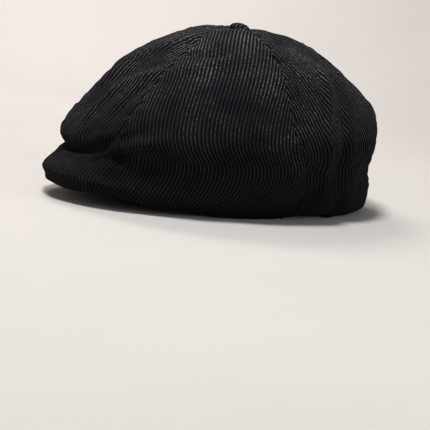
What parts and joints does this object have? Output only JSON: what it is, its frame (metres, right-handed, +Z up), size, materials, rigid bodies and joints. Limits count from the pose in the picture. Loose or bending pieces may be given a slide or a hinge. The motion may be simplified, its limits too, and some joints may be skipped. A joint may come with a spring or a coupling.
{
  "type": "newsboy cap",
  "caption": "Black fine-wale corduroy newsboy cap with panels meeting under a covered button and pulled over a short arched brim.",
  "frame": {"origin": "centre of the head opening, in the plane the cap stands on: its hem at the sides and back", "axes": "+Z up out of the crown, -Y forward over the brim, +X to the wearer's left"},
  "size_m": [0.248, 0.2904, 0.1543],
  "materials": {
    "corduroy": "fine-wale cotton corduroy, black",
    "lining_satin": "black satin-weave lining",
    "sweatband_twill": "black cotton twill tape",
    "stiffener": "off-white non-woven interlining",
    "brim_board": "white polyethylene sheet",
    "brim_foam": "grey polyester wadding",
    "elastic": "white braided elastic",
    "button_metal": "pressed, mill finish",
    "thread": "black polyester thread",
    "label_cloth": "blank woven label"
  },
  "bodies": {
    "root": {"crown_front_panel": "corduroy", "crown_left_front_panel": "corduroy", "crown_left_rear_panel": "corduroy", "crown_rear_panel": "corduroy", "crown_right_rear_panel": "corduroy", "crown_right_front_panel": "corduroy", "lining_front_panel": "lining_satin", "lining_left_front_panel": "lining_satin", "lining_left_rear_panel": "lining_satin", "lining_rear_panel": "lining_satin", "lining_right_rear_panel": "lining_satin", "lining_right_front_panel": "lining_satin", "brim_board": "brim_board", "brim_pad": "brim_foam", "brim_underside_cover": "corduroy", "sweatband": "sweatband_twill", "sweatband_stiffener": "stiffener", "rear_elastic": "elastic", "size_tab": "label_cloth", "care_label": "label_cloth", "button_cover": "corduroy", "button_shell": "button_metal", "button_back_plate": "button_metal", "button_thread": "thread"}
  },
  "joints": []
}
